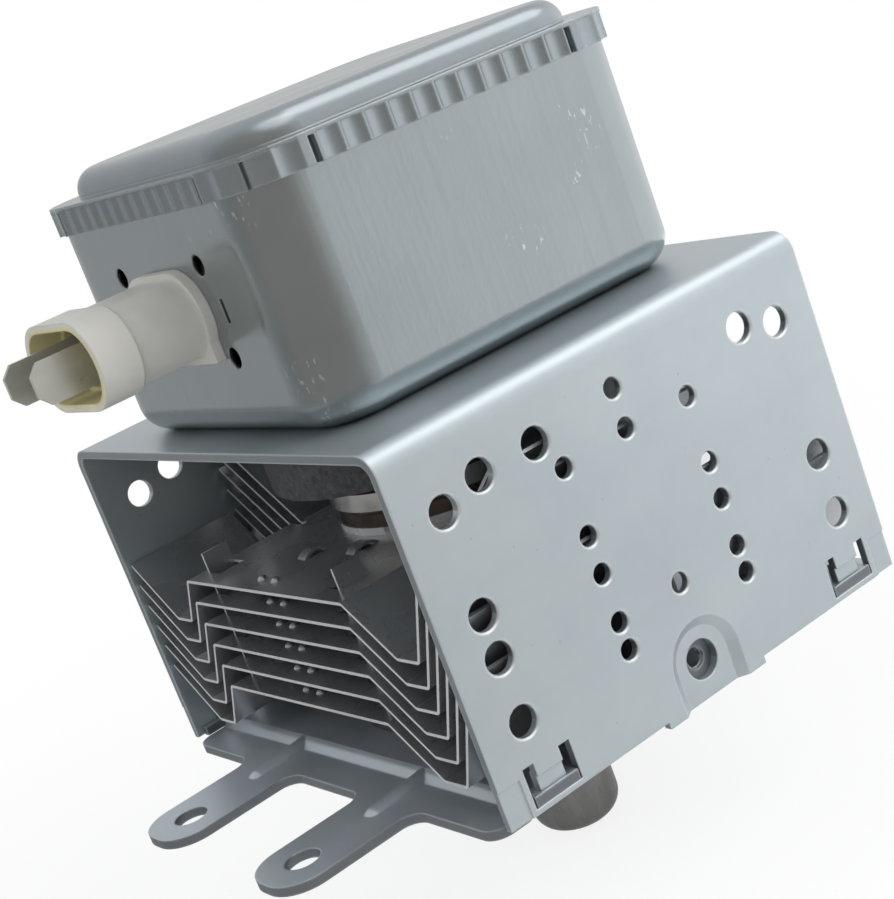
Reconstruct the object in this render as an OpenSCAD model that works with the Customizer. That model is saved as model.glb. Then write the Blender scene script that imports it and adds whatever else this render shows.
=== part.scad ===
// Microwave-oven magnetron, upright on its mounting ears, antenna down and filter box up.
// The origin lies on the antenna axis, in the plane of the ears' undersides.

/* [Yoke] */
// Width of the folded yoke across its two side plates
yoke_w = 94.5; // [90:0.5:100]
// Depth of the yoke along its open direction
yoke_l = 80; // [76:0.5:86]
// Height of the yoke above the base plate
yoke_h = 54; // [52:0.5:58]
// Sheet thickness of the yoke
yoke_t = 1.4; // [1:0.1:1.8]
// Outer radius of the yoke's two bends
yoke_bend = 3.4; // [2.5:0.1:5]
// Reach of the side plates below the base plate's top
leg_drop = 1.3; // [0.8:0.05:1.4]
// Diameter of the large air holes in the side plates
vent_d = 4.6; // [3:0.1:5]
// Diameter of the small air holes in the side plates
port_d = 3; // [2:0.1:3.6]

/* [Base plate] */
// Sheet thickness of the base plate
base_t = 1.5; // [1.2:0.1:1.8]
// Drop of the ears below the middle of the plate
base_step = 1.45; // [1.2:0.05:1.8]
// Width of the lowered flanges that carry the ears
flange_w = 88.6; // [84:0.2:90]
// Depth over both flanges
flange_l = 82.6; // [82.2:0.2:86]
// Width of one mounting ear
ear_w = 14; // [12:0.2:16]
// Depth over the tips of the ears
ear_reach = 127.8; // [126:0.2:132]
// Hole spacing across the ears
ear_pitch_x = 35.4; // [33:0.2:38]
// Distance of the ear holes from the ears' tips
ear_hole_inset = 6.9; // [5:0.1:9]
// Diameter of the ear holes
ear_hole_d = 5.5; // [4.5:0.1:6]
// Tapping diameter of the side lugs
lug_tap_d = 3.3; // [2.5:0.1:4.2]

/* [Magnets and tube] */
// Outer diameter of the ring magnets
magnet_d = 55.6; // [50:0.2:57]
// Hole in the ring magnets
magnet_hole_d = 23; // [22:0.2:26]
// Thickness of the lower magnet
lower_magnet_t = 10.4; // [8:0.1:10.6]
// Thickness of the upper magnet
upper_magnet_t = 12.2; // [10:0.1:12.4]
// Outer diameter of the anode cylinder
anode_d = 38.8; // [37:0.2:39.4]
// Wall of the anode cylinder
anode_wall = 2.1; // [1.6:0.1:2.6]
// Number of anode vanes
vane_count = 10; // [6:2:14]
// Diameter of the bright seal cup above the fins
cup_d = 40.2; // [39.6:0.2:42]
// Diameter of the antenna cap
cap_d = 15.1; // [14:0.1:15.6]
// Reach of the antenna cap below the ears
cap_reach = 29; // [26:0.5:32]

/* [Cooling fins] */
// Sheet thickness of one fin
fin_t = 0.5; // [0.4:0.05:0.8]
// Spacing of the fins
fin_pitch = 3.86; // [3.6:0.02:3.9]
// Depth of a fin
fin_l = 78.2; // [76:0.2:79.6]
// Depth of the folded troughs below the flat of a fin
fin_trough = 7.9; // [6:0.1:9]
// Slope of the raised middle wings in degrees
wing_slope = 37; // [30:1:38]

/* [Filter box] */
// Width of the filter box
box_w = 66.4; // [64:0.2:70]
// Depth of the filter box
box_l = 69.8; // [68:0.2:74]
// Height of the filter box up to its rim
box_h = 38.7; // [36:0.1:42]
// Sheet thickness of the box and its cover
box_t = 0.7; // [0.5:0.1:0.9]
// Radius of the box's upright corners
box_corner = 9.6; // [8:0.1:12]
// Radius of the box's lower edge
box_edge = 5; // [4:0.1:6]
// Height of the crimped skirt of the cover
skirt_h = 4.55; // [4:0.05:6]
// Rise of the cover's raised pan
pan_rise = 4; // [3:0.1:6]
// Width of the flat ledge around the pan
pan_ledge = 4; // [3:0.1:6]

/* [Connector] */
// Width of one terminal tab
tab_w = 6.3; // [4.8:0.1:6.4]
// Thickness of one terminal tab
tab_t = 0.8; // [0.5:0.1:1]
// Spacing of the two terminal tabs
tab_pitch = 10; // [9:0.2:11]
// Width of the connector's mouth collar
collar_w = 24; // [22:0.2:26]
// Height of the connector's mouth collar
collar_h = 13.4; // [12:0.2:14]
// Height of the connector axis above the yoke
connector_z = 19.6; // [18:0.1:22]

/* [Hidden] */
$fn = 64;

// Over-run of a through cut
cut = 1;
// Clearance of a pressed or seated fit
seat = 0.05;
// Clearance of a loose fit
loose = 0.3;
// Amount by which a bend's arc crosses the straight runs beside it
bend_ease = 0.005;

// Levels along the axis
base_top = base_step + base_t;
yoke_top = base_top + yoke_h;
ceiling_z = yoke_top - yoke_t;
upper_magnet_z = ceiling_z - upper_magnet_t;
lower_magnet_top = base_top + lower_magnet_t;
inner_x = yoke_w/2 - yoke_t;

// Side-plate features, measured from the plate's middle and its foot
vents = [[-32.3, 42.5], [32.3, 42.5], [-25.2, 44.5], [25.2, 44.5], [-15.2, 44.5], [-32.3, 27.4],
         [-32.3, 21], [32.3, 21], [-32.3, 11.4], [32.3, 11.4]];
port_y = 12.1;
port_rows = [11.5, 15.8, 23.3, 29.1, 39.4];
middle_ports = [15.8, 39.9, 45.9];
hole_rim = 0.25;
tongue_half = 10;
tongue_drop = 2.4;
recess_r = 6.6;
recess_floor_r = 4.9;
recess_depth = 1.2;
recess_z = 3.4;
recess_hole_d = 6;
lance_y = 31;
lance_half = 4.3;
lance_slot = 2;
lance_top = 5.6;
lance_bend = 3.5;
lance_foot = 1.2;
lance_sink = 0.4;
lance_joggle = 0.5;
patch_y = 36.2;
patch_h = 4.6;
patch_depth = 0.25;

// Base-plate details
ear_pitch_y = ear_reach - 2*ear_hole_inset;
joggle_run = 1.4;
base_bend = 0.4;
flange_run = 6.2;
plate_x = inner_x - seat;
horn_w = plate_x - flange_w/2 - loose;
flange_corner = 3;
ear_tip_r = 6;
ear_fillet = 3;
bead_w = 3.6;
bead_reach = 2.6;
bead_slope = 4;
antenna_hole_d = 16.6;
lug_w = 12;
lug_h = 8;
lug_x = inner_x - recess_depth - seat;
gasket_d = 27;
gasket_hole_d = 17.4;

// Vacuum-tube levels and radii
lower_cup_h = 3.2;
anode_z = lower_magnet_top + lower_cup_h;
cup_rise = 33.9;
cup_z = base_top + cup_rise;
cup_h = 4.5;
cup_t = 0.8;
anode_h = cup_z - anode_z;
anode_bore = anode_d - 2*anode_wall;
vane_mid = (anode_z + cup_z)/2;
vane_h = 9.6;
vane_t = 2;
vane_tip_r = 4.6;
strap_w = 0.9;
strap_t = 1;
strap_inner_r = 6.4;
strap_outer_r = 8;
pole_t = 1.8;
pole_hole_r = 4.6;
pole_cone_r = 9;
pole_drop = 2;
neck_r = 10.5;
neck_proud = 3;
neck_top = yoke_top + neck_proud;
lower_neck_r = 7.4;
lower_neck_z = -3.5;
shoulder_r = 16.5;
filament_r = 2;
filament_wire_r = 0.35;
filament_turns = 8;
filament_web = 0.3;
hat_r = 3.6;
hat_t = 1;
lead_r = 0.7;
side_lead_x = -3;
stem_h = 8;
stem_top = neck_top + stem_h;
strap_plate_t = 0.8;
strap_plate_w = 2.4;
ceramic_h = 11;
ceramic_r = 7.2;
ceramic_wall = 2.2;
cap_top = lower_neck_z - ceramic_h;
cap_wall = 0.6;
cap_edge = 4;
antenna_rod_r = 1.1;
antenna_vane_x = 9;
exhaust_r = 2.6;
exhaust_wall = 0.8;
exhaust_drop = 7.5;
exhaust_z = cap_top - exhaust_drop;
exhaust_h = 9;

// Fin profile along X, from the left side plate to the right one
fin_gap = 0.15;
fin_bend = 0.7;
fin_rise = 11.4;
fin_z0 = base_top + fin_rise;
fin_end_x = inner_x - fin_gap - fin_t/2;
wing_split = 18.1;
wing_gap = 1;
left_end_rise = 1.3;
right_end_rise = 4.7;
left_trough = [-35, -30];
right_trough = [32.8, 38.2];
left_flat = -25.2;
right_flat = 23;
wing_flat = 23;
bridge_x = 21;
fin_bore = anode_d + 2*seat;
fin_collar_h = 1.2;
spacer_l = 4.8;
spacer_y = 33.5;
spacer_left = -23;
spacer_right = 18;
fin_dimples = [-5.2, -1];
dimple_y = 35.7;
dimple_r = 0.9;
louvre_l = 5;
louvre_w = 2.4;
louvre_h = 1;
louvres = [[-4, 26.5], [6, 23.5]];

// Filter box and cover
skirt_gap = 0.1;
skirt_t = 1.1;
flute_depth = 0.6;
corner_flute = 0.4;
flute_lip = 0.5;
flute_gap = 0.3;
front_flutes = 12;
side_flutes = 11;
corner_facets = 4;
front_slit_w = 0.5;
corner_slit_w = 0.7;
side_slit_w = 1.1;
front_slit_in = 0.5;
side_slit_in = 2;
front_slit_x = box_w/2 - box_corner - front_slit_in;
side_slit_y = box_l/2 - box_corner - side_slit_in;
cover_z = yoke_top + box_h;
pan_edge = 3.6;
screw_hole_d = 3.2;
screw_pitch_x = 25.4;
screw_pitch_z = 14;
latch_slit = [15.2, 0.9, 3.6];

// Connector and the parts behind it
front_y = -box_l/2;
axis_z = yoke_top + connector_z;
connector_reach = 19.2;
collar_y = front_y - connector_reach;
collar_l = 6.4;
tube_w = 21.4;
tube_h = 12.2;
plate_w = 23;
plate_h = 14.2;
plate_t = 1.6;
shell_wall = 1.2;
tab_chamfer = 1.6;
capacitor_l = 15;
tab_proud = 7.1;
tab_tail = 5.2;
tab_tip_y = collar_y - tab_proud;
tab_tail_y = front_y + box_t + capacitor_l + tab_tail;
capacitor_w = 20;
capacitor_h = 12;
choke_x = 19;
choke_front = -9;
choke_rear = 17;
choke_r = 4.4;
choke_wire_r = 0.8;
choke_pitch = 1.9;
core_r = 2.6;
core_over = 3;
strap_tail = 17;

// Flat outline with rounded corners
module rounded_outline(w, l, r) {
  square([w - 2*r, l], center = true);
  square([w, l - 2*r], center = true);
  for (sx = [-1, 1], sy = [-1, 1])
    translate([sx*(w/2 - r), sy*(l/2 - r)]) circle(r);
}

// Flat outline with two straight and two half-round sides
module slot_outline(w, h) {
  square([w - h, h], center = true);
  for (s = [-1, 1])
    translate([s*(w - h)/2, 0]) circle(h/2);
}

// Solid drawn pan with rounded upright corners and a rounded lower edge
module drawn_pan(w, l, h, corner, edge) {
  translate([0, 0, edge])
    linear_extrude(h - edge) rounded_outline(w, l, corner);
  linear_extrude(edge)
    rounded_outline(w - 2*edge, l - 2*edge, corner - edge);
  for (s = [-1, 1]) {
    translate([0, s*(l/2 - edge), edge])
      rotate([0, 90, 0]) cylinder(h = w - 2*corner, r = edge, center = true);
    translate([s*(w/2 - edge), 0, edge])
      rotate([90, 0, 0]) cylinder(h = l - 2*corner, r = edge, center = true);
  }
  for (sx = [-1, 1], sy = [-1, 1])
    translate([sx*(w/2 - corner), sy*(l/2 - corner), edge])
      rotate_extrude()
        intersection() {
          translate([corner - edge, 0]) circle(edge);
          translate([0, -edge]) square([corner, 2*edge]);
        }
}

// Tube along Z
module pipe(r_out, r_in, h) {
  difference() {
    cylinder(h = h, r = r_out);
    translate([0, 0, -cut]) cylinder(h = h + 2*cut, r = r_in);
  }
}

// Round rod along X, from one place to another
module rod_x(x1, x2, r) {
  translate([min(x1, x2), 0, 0])
    rotate([0, 90, 0]) cylinder(h = abs(x2 - x1), r = r);
}

// Turns a flat outline in X and Z into a sheet that runs from y1 to y2
module along_y(y1, y2) {
  translate([0, y2, 0])
    rotate([90, 0, 0]) linear_extrude(y2 - y1) children();
}

// Direction and mitred offset of a folded sheet's middle line
function unit(v) = v/norm(v);
function left_normal(a, b) = let (d = unit(b - a)) [-d[1], d[0]];
function mitre(p, i, d) =
  let (last = len(p) - 1)
  let (n1 = left_normal(p[max(i - 1, 0)], p[max(i, 1)]))
  let (n2 = left_normal(p[min(i, last - 1)], p[min(i + 1, last)]))
  p[i] + d*(n1 + n2)/(1 + n1*n2);

// Side to which a middle line turns at one of its points
function turn(p, i) = sign(cross(p[i] - p[i - 1], p[i + 1] - p[i]));

// Wedge between a bend's two straight runs, from the bend's centre out to a depth below the middle line
module bend_wedge(p, i, reach, depth) {
  s = turn(p, i);
  c = mitre(p, i, s*reach);
  far = s*(reach + depth);
  before = left_normal(p[i - 1], p[i]);
  after = left_normal(p[i], p[i + 1]);
  polygon([c, c - far*before, mitre(p, i, -s*depth), c - far*after]);
}

// Folded sheet of even thickness over a middle line, with round bends of inner radius r
module folded_outline(p, t, r) {
  last = len(p) - 1;
  reach = r + t/2;
  difference() {
    polygon(concat(
      [for (i = [0 : last]) mitre(p, i, t/2)],
      [for (i = [last : -1 : 0]) mitre(p, i, -t/2)]));
    for (i = [1 : last - 1])
      difference() {
        bend_wedge(p, i, reach, t);
        translate(mitre(p, i, turn(p, i)*reach)) circle(r + t + bend_ease);
      }
  }
  for (i = [1 : last - 1])
    difference() {
      bend_wedge(p, i, reach, 0);
      translate(mitre(p, i, turn(p, i)*reach)) circle(r + bend_ease);
    }
}

// Rounded top of the yoke's cross-section
module arch_outline(w, h, r) {
  foot = leg_drop + cut;
  translate([-w/2, -foot]) square([w, h + foot - r]);
  translate([-w/2 + r, -foot]) square([w - 2*r, h + foot]);
  for (s = [-1, 1])
    translate([s*(w/2 - r), h - r]) circle(r);
}

module yoke_section() {
  difference() {
    arch_outline(yoke_w, yoke_h, yoke_bend);
    arch_outline(yoke_w - 2*yoke_t, yoke_h - yoke_t, yoke_bend - yoke_t);
    translate([-yoke_w, -leg_drop - 2*cut]) square([2*yoke_w, 2*cut]);
  }
}

// Punched hole through both side plates, with a rolled-in rim on the outside
module side_hole(y, z, d) {
  translate([0, y, base_top + z])
    rotate([0, 90, 0]) {
      cylinder(h = yoke_w + 2*cut, d = d, center = true);
      for (s = [0, 1])
        mirror([0, 0, s])
          translate([0, 0, yoke_w/2 - hole_rim])
            cylinder(h = 2*hole_rim, d1 = d, d2 = d + 4*hole_rim);
    }
}

// Half-section of the pressed recess: outward distance from its axis, then depth
function recess_half(over) = [
  [0, -recess_depth], [recess_floor_r, -recess_depth], [recess_r, 0], [over, 0], [over, -yoke_t],
  [recess_r, -yoke_t], [recess_floor_r, -recess_depth - yoke_t], [0, -recess_depth - yoke_t]];

// Pressed recess of the right side plate, with an arched top and an open foot
module recess_sheet() {
  over = recess_r + yoke_t;
  foot = recess_z + tongue_drop;
  translate([yoke_w/2, 0, base_top + recess_z])
    rotate([0, 90, 0]) rotate([0, 0, 90])
      rotate_extrude(angle = 180) polygon(recess_half(over));
  for (s = [0, 1])
    mirror([0, s, 0])
      translate([yoke_w/2, 0, base_top + recess_z - foot])
        linear_extrude(foot)
          polygon([for (q = recess_half(over)) [q[1], q[0]]]);
}

// Plate area that the recess takes the place of
module recess_cut() {
  r = recess_r + yoke_t/2;
  translate([yoke_w/2 - yoke_t - cut, 0, base_top + recess_z]) {
    rotate([0, 90, 0]) cylinder(h = yoke_t + 2*cut, r = r);
    translate([0, -r, -recess_z - tongue_drop - cut])
      cube([yoke_t + 2*cut, 2*r, recess_z + tongue_drop + cut]);
  }
}

// Slots that free a lanced tongue in the right side plate above the base plate's foot
module lance_cut(side) {
  translate([yoke_w/2 - yoke_t - cut, side*lance_y, base_top]) {
    for (s = [-1, 1])
      translate([0, s*(lance_half - lance_slot/2) - lance_slot/2, -lance_sink - seat])
        cube([yoke_t + 2*cut, lance_slot, lance_top + lance_sink + seat]);
    translate([0, -lance_half, -lance_sink - seat])
      cube([yoke_t + 2*cut, 2*lance_half, lance_bend + lance_sink + seat]);
  }
}

// Joggled lower end of a lanced tongue
module lance_tongue(side) {
  half = lance_half - lance_slot;
  translate([yoke_w/2 - yoke_t - lance_joggle, side*lance_y - half, base_top + lance_foot])
    cube([yoke_t, 2*half, lance_bend + lance_joggle - lance_foot]);
}

module yoke_frame() color("#b0babe") {
  difference() {
    union() {
      difference() {
        union() {
          translate([0, 0, base_top])
            along_y(-yoke_l/2, yoke_l/2) yoke_section();
          for (s = [-1, 1])
            translate([s*(yoke_w/2 - yoke_t/2), 0, base_top])
              cube([yoke_t, 2*tongue_half, 2*tongue_drop], center = true);
        }
        for (s = [0, 1])
          mirror([s, 0, 0]) {
            recess_cut();
            for (side = [0, 1]) {
              lance_cut(2*side - 1);
              mirror([0, side, 0])
                translate([yoke_w/2 - patch_depth, patch_y, base_top - leg_drop - cut])
                  cube([2*patch_depth, yoke_l/2, patch_h + leg_drop + cut]);
            }
          }
      }
      for (s = [0, 1])
        mirror([s, 0, 0]) {
          recess_sheet();
          for (side = [-1, 1])
            lance_tongue(side);
        }
    }
    for (v = vents)
      side_hole(v[0], v[1], vent_d);
    for (s = [-1, 1], z = port_rows)
      side_hole(s*port_y, z, port_d);
    for (z = middle_ports)
      side_hole(0, z, port_d);
    translate([0, 0, base_top + recess_z])
      rotate([0, 90, 0]) cylinder(h = yoke_w, d = recess_hole_d, center = true);
    translate([0, 0, ceiling_z - cut])
      cylinder(h = yoke_t + 2*cut, d = magnet_hole_d);
  }
}

// Section of the base plate along Y, with its front and rear flanges stepped down
module base_section() {
  end = flange_l/2;
  fold = end - flange_run;
  p = [[-end, base_t/2], [-fold, base_t/2], [-fold + joggle_run, base_step + base_t/2],
       [fold - joggle_run, base_step + base_t/2], [fold, base_t/2], [end, base_t/2]];
  folded_outline(p, base_t, base_bend);
}

// Flat outline of one ear with rounded tip and filleted root
module ear_outline() {
  root = flange_l/2 - flange_run/2;
  edge = flange_l/2;
  tip = ear_reach/2;
  translate([-ear_w/2, root]) square([ear_w, tip - ear_tip_r - root]);
  translate([-ear_w/2 + ear_tip_r, root]) square([ear_w - 2*ear_tip_r, tip - root]);
  for (s = [-1, 1])
    translate([s*(ear_w/2 - ear_tip_r), tip - ear_tip_r]) circle(ear_tip_r);
  difference() {
    translate([-ear_w/2 - ear_fillet, root]) square([ear_w + 2*ear_fillet, edge + ear_fillet - root]);
    for (s = [-1, 1])
      translate([s*(ear_w/2 + ear_fillet), edge + ear_fillet]) circle(ear_fillet);
  }
}

// Raised round bead that stiffens an ear's root and slopes down to its tip
module ear_bead() {
  start = flange_l/2 - flange_run - joggle_run;
  run = flange_run + joggle_run + bead_reach;
  rise = base_step;
  r = (bead_w*bead_w/4 + rise*rise)/(2*rise);
  intersection() {
    translate([0, start, base_top - r])
      rotate([-90 - bead_slope, 0, 0]) {
        cylinder(h = run, r = r);
        translate([0, 0, run]) sphere(r);
      }
    translate([-bead_w, start, base_t/2]) cube([2*bead_w, ear_reach, base_top]);
  }
}

// Upright tapped lug behind a side plate's recess
module side_lug() {
  translate([lug_x - base_t, 0, base_top])
    difference() {
      translate([0, -lug_w/2, -base_t]) cube([base_t, lug_w, lug_h + base_t]);
      translate([-cut, 0, recess_z])
        rotate([0, 90, 0]) cylinder(h = base_t + 2*cut, d = lug_tap_d);
    }
}

// Foot that locks into a lanced tongue of the right side plate
module lock_foot(side) {
  half = lance_half - loose;
  translate([plate_x - base_t, side*lance_y - half, base_top - lance_sink])
    cube([base_t + seat + yoke_t, 2*half, lance_sink + lance_foot - seat]);
}

module base_plate() color("#7d878e")
  difference() {
    union() {
      difference() {
        union() {
          rotate([90, 0, 90])
            linear_extrude(flange_w, center = true) base_section();
          translate([0, 0, base_top - base_t/2])
            cube([2*plate_x, flange_l - 2*(flange_run + joggle_run), base_t], center = true);
          for (s = [-1, 1])
            translate([s*(plate_x - horn_w/2), 0, base_top - base_t/2])
              cube([horn_w, yoke_l - 2*joggle_run, base_t], center = true);
        }
        for (sx = [0, 1], sy = [0, 1])
          mirror([sx, 0, 0]) mirror([0, sy, 0])
            translate([flange_w/2 - flange_corner, flange_l/2 - flange_corner, -cut])
              difference() {
                cube([flange_corner + cut, flange_corner + cut, base_t + cut]);
                translate([0, 0, -cut]) cylinder(h = base_t + 3*cut, r = flange_corner);
              }
        for (s = [-1, 1])
          translate([s*yoke_w/2, 0, base_top])
            cube([2*(yoke_w/2 - lug_x), 2*(tongue_half + loose), 4*base_t], center = true);
      }
      for (sx = [-1, 1], sy = [0, 1])
        translate([sx*ear_pitch_x/2, 0, 0])
          mirror([0, sy, 0]) {
            linear_extrude(base_t) ear_outline();
            ear_bead();
          }
      for (s = [0, 1])
        mirror([s, 0, 0]) {
          side_lug();
          for (side = [-1, 1])
            lock_foot(side);
        }
    }
    for (sx = [-1, 1], sy = [-1, 1])
      translate([sx*ear_pitch_x/2, sy*ear_pitch_y/2, -cut])
        cylinder(h = base_t + 2*cut, d = ear_hole_d);
    translate([0, 0, -cut])
      cylinder(h = base_top + 2*cut, d = antenna_hole_d);
  }

module rf_gasket() color("#a9a79f")
  pipe(gasket_d/2, gasket_hole_d/2, base_step);

module ring_magnet(z, t) color("#33343a")
  translate([0, 0, z]) pipe(magnet_d/2, magnet_hole_d/2, t);

module upper_magnet() ring_magnet(upper_magnet_z, upper_magnet_t);

module lower_magnet() ring_magnet(base_top, lower_magnet_t);

// Groove at both edges of every vane for the strap rings
module strap_grooves() {
  depth = strap_t + seat;
  for (z = [vane_mid + vane_h/2 - depth, vane_mid - vane_h/2 - cut])
    translate([0, 0, z])
      pipe(strap_outer_r + strap_w + seat, strap_inner_r - strap_w - seat, depth + cut);
}

module anode_block() color("#b4714a") {
  translate([0, 0, anode_z]) pipe(anode_d/2, anode_bore/2, anode_h);
  difference() {
    for (i = [0 : vane_count - 1])
      rotate([0, 0, i*360/vane_count])
        translate([vane_tip_r, -vane_t/2, vane_mid - vane_h/2])
          cube([anode_bore/2 + anode_wall/2 - vane_tip_r, vane_t, vane_h]);
    strap_grooves();
  }
}

module strap_ring(r, z) color("#c07d55")
  translate([0, 0, z]) pipe(r + strap_w/2, r - strap_w/2, strap_t);

module strap_ring_upper_outer() strap_ring(strap_outer_r, vane_mid + vane_h/2 - strap_t - seat);
module strap_ring_upper_inner() strap_ring(strap_inner_r, vane_mid + vane_h/2 - strap_t - seat);
module strap_ring_lower_outer() strap_ring(strap_outer_r, vane_mid - vane_h/2 + seat);
module strap_ring_lower_inner() strap_ring(strap_inner_r, vane_mid - vane_h/2 + seat);

// Funnel-shaped pole piece with its flat face at z = 0 and its cone along +Z
module pole_funnel() {
  rim = anode_bore/2 - seat;
  rotate_extrude()
    polygon([[pole_cone_r, 0], [rim, 0], [rim, pole_t], [pole_cone_r + pole_t, pole_t],
             [pole_hole_r + pole_t, pole_t + pole_drop], [pole_hole_r, pole_t + pole_drop],
             [pole_hole_r, pole_drop]]);
}

module upper_pole_piece() color("#8f9396")
  translate([0, 0, cup_z]) mirror([0, 0, 1]) pole_funnel();

module lower_pole_piece() color("#8f9396")
  difference() {
    translate([0, 0, anode_z]) pole_funnel();
    translate([antenna_vane_x, 0, anode_z - cut])
      cylinder(h = pole_t + pole_drop + 2*cut, r = antenna_rod_r + loose);
  }

// Bright cup over the anode, its shoulder under the magnet and its neck through the yoke
module upper_seal_cup() color("#cfd0cc") {
  r = cup_d/2;
  shoulder = cup_z + cup_h;
  rotate_extrude()
    polygon([[anode_bore/2, cup_z], [r - cup_t, cup_z], [r, cup_z + cup_t], [r, shoulder - cup_t],
             [r - cup_t, shoulder], [shoulder_r, shoulder], [shoulder_r, upper_magnet_z - seat],
             [neck_r, upper_magnet_z - seat], [neck_r, neck_top],
             [neck_r - cup_t, neck_top], [neck_r - cup_t, upper_magnet_z - cup_t - seat],
             [shoulder_r - cup_t, upper_magnet_z - cup_t - seat], [shoulder_r - cup_t, shoulder - cup_t],
             [anode_bore/2, shoulder - cup_t]]);
}

// Cup under the anode, with its neck down to the antenna window
module lower_seal_cup() color("#cfd0cc") {
  floor_z = lower_magnet_top + seat;
  rotate_extrude()
    polygon([[anode_bore/2, anode_z], [anode_d/2, anode_z], [anode_d/2, floor_z],
             [lower_neck_r, floor_z], [lower_neck_r, lower_neck_z],
             [lower_neck_r - cup_t, lower_neck_z], [lower_neck_r - cup_t, floor_z + cup_t],
             [anode_bore/2, floor_z + cup_t]]);
}

// Wound filament with its turns joined by a thin wall, between the two hats
module cathode_filament() color("#6d6a66") {
  pitch = vane_h/filament_turns;
  translate([0, 0, vane_mid - vane_h/2])
    rotate_extrude() {
      for (i = [0 : filament_turns])
        translate([filament_r, i*pitch]) circle(filament_wire_r);
      translate([filament_r - filament_web/2, 0]) square([filament_web, vane_h]);
    }
}

hat_offset = vane_h/2 + filament_wire_r;

module upper_end_hat() color("#77777a")
  translate([0, 0, vane_mid + hat_offset]) pipe(hat_r, lead_r + loose, hat_t);

module lower_end_hat() color("#77777a")
  translate([0, 0, vane_mid - hat_offset - hat_t]) cylinder(h = hat_t, r = hat_r);

module center_lead() color("#8a8a8c")
  translate([0, 0, vane_mid - hat_offset])
    cylinder(h = stem_top - vane_mid + hat_offset, r = lead_r);

module side_lead() color("#8a8a8c")
  translate([side_lead_x, 0, vane_mid + hat_offset + hat_t])
    cylinder(h = stem_top - vane_mid - hat_offset - hat_t, r = lead_r);

module stem_ceramic() color("#e9e6df")
  translate([0, 0, neck_top])
    difference() {
      cylinder(h = stem_h, r = neck_r);
      for (x = [0, side_lead_x])
        translate([x, 0, -cut]) cylinder(h = stem_h + 2*cut, r = lead_r + seat);
    }

// Terminal strap on the stem, from a lead to the rear end of a choke
module stem_strap(side, x1, x2) color("#9b9d9c") {
  wide = strap_plate_w;
  translate([min(x1, x2), -wide/2, stem_top]) cube([abs(x2 - x1), wide, strap_plate_t]);
  translate([side*tab_pitch/2 - wide/2, -wide/2, stem_top]) cube([wide, strap_tail + wide, strap_plate_t]);
}

module center_terminal() stem_strap(1, -lead_r, tab_pitch/2);
module side_terminal() stem_strap(-1, side_lead_x + lead_r, -tab_pitch/2);

// Output lead from the lower edge of one vane to the exhaust tube
module antenna_lead() color("#b4714a") {
  turn_z = anode_z - antenna_rod_r;
  top_z = vane_mid - vane_h/2;
  translate([antenna_vane_x, 0, turn_z]) cylinder(h = top_z - turn_z, r = antenna_rod_r);
  translate([0, 0, turn_z]) rod_x(0, antenna_vane_x, antenna_rod_r);
  translate([antenna_vane_x, 0, turn_z]) sphere(antenna_rod_r);
  translate([0, 0, exhaust_z + exhaust_wall])
    cylinder(h = turn_z + antenna_rod_r - exhaust_z - exhaust_wall, r = antenna_rod_r);
}

module exhaust_tube() color("#b4714a")
  translate([0, 0, exhaust_z])
    difference() {
      cylinder(h = exhaust_h, r = exhaust_r);
      translate([0, 0, exhaust_wall]) cylinder(h = exhaust_h, r = exhaust_r - exhaust_wall);
    }

module antenna_ceramic() color("#e9e6df")
  translate([0, 0, cap_top]) pipe(ceramic_r, ceramic_r - ceramic_wall, ceramic_h);

// Drawn antenna cap, closed below with a rounded edge
module antenna_cap() color("#9c988d") {
  r = cap_d/2;
  h = cap_top + cap_reach;
  inner = cap_edge - cap_wall;
  translate([0, 0, -cap_reach])
    difference() {
      rotate_extrude() {
        translate([0, cap_edge]) square([r, h - cap_edge]);
        square([r - cap_edge, h]);
        intersection() {
          translate([r - cap_edge, cap_edge]) circle(cap_edge);
          square([r, h]);
        }
      }
      rotate_extrude() {
        translate([0, cap_edge]) square([r - cap_wall, h]);
        translate([0, cap_wall]) square([r - cap_edge, h]);
        intersection() {
          translate([r - cap_edge, cap_edge]) circle(inner);
          square([r, h]);
        }
      }
    }
}

// Middle line of a fin's folded front and rear part, left plate to right plate
function trough_line() = [
  [-fin_end_x, left_end_rise], [left_trough[0], -fin_trough], [left_trough[1], -fin_trough],
  [left_flat, -fin_t/2], [right_flat, -fin_t/2],
  [right_trough[0], -fin_trough], [right_trough[1], -fin_trough], [fin_end_x, right_end_rise]];

// Middle line of a fin's middle part, with both wings raised
function wing_line() =
  let (rise = (fin_end_x - wing_flat)*tan(wing_slope))
  [[-fin_end_x, rise], [-wing_flat, -fin_t/2], [wing_flat, -fin_t/2], [fin_end_x, rise]];

// Spacer bent up from a fin until it meets the next one, beside the opening it leaves
module fin_spacer(x, y) {
  translate([x - fin_t/2, y - spacer_l/2, -fin_t]) cube([fin_t, spacer_l, fin_pitch - seat]);
}

module fin_window(x, y, inward) {
  reach = fin_pitch - fin_t;
  translate([x + inward*(fin_t + reach)/2, y, -fin_t/2])
    cube([reach, spacer_l, fin_t + cut], center = true);
}

// Low bridge lanced up from a fin, open at its two long sides
module fin_louvre() {
  r = (louvre_l*louvre_l/4 + louvre_h*louvre_h)/(2*louvre_h);
  intersection() {
    translate([0, 0, louvre_h - r])
      rotate([0, 90, 0])
        difference() {
          cylinder(h = louvre_w, r = r, center = true);
          cylinder(h = 2*louvre_w, r = r - fin_t, center = true);
        }
    translate([-louvre_w, -louvre_l, -fin_t]) cube([2*louvre_w, 2*louvre_l, fin_t + 2*louvre_h]);
  }
}

// Opening that a louvre leaves in the flat
module louvre_window() {
  translate([-louvre_w/2, -louvre_l/2 + fin_t, -fin_t - cut])
    cube([louvre_w, louvre_l - 2*fin_t, fin_t + 2*cut]);
}

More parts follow.
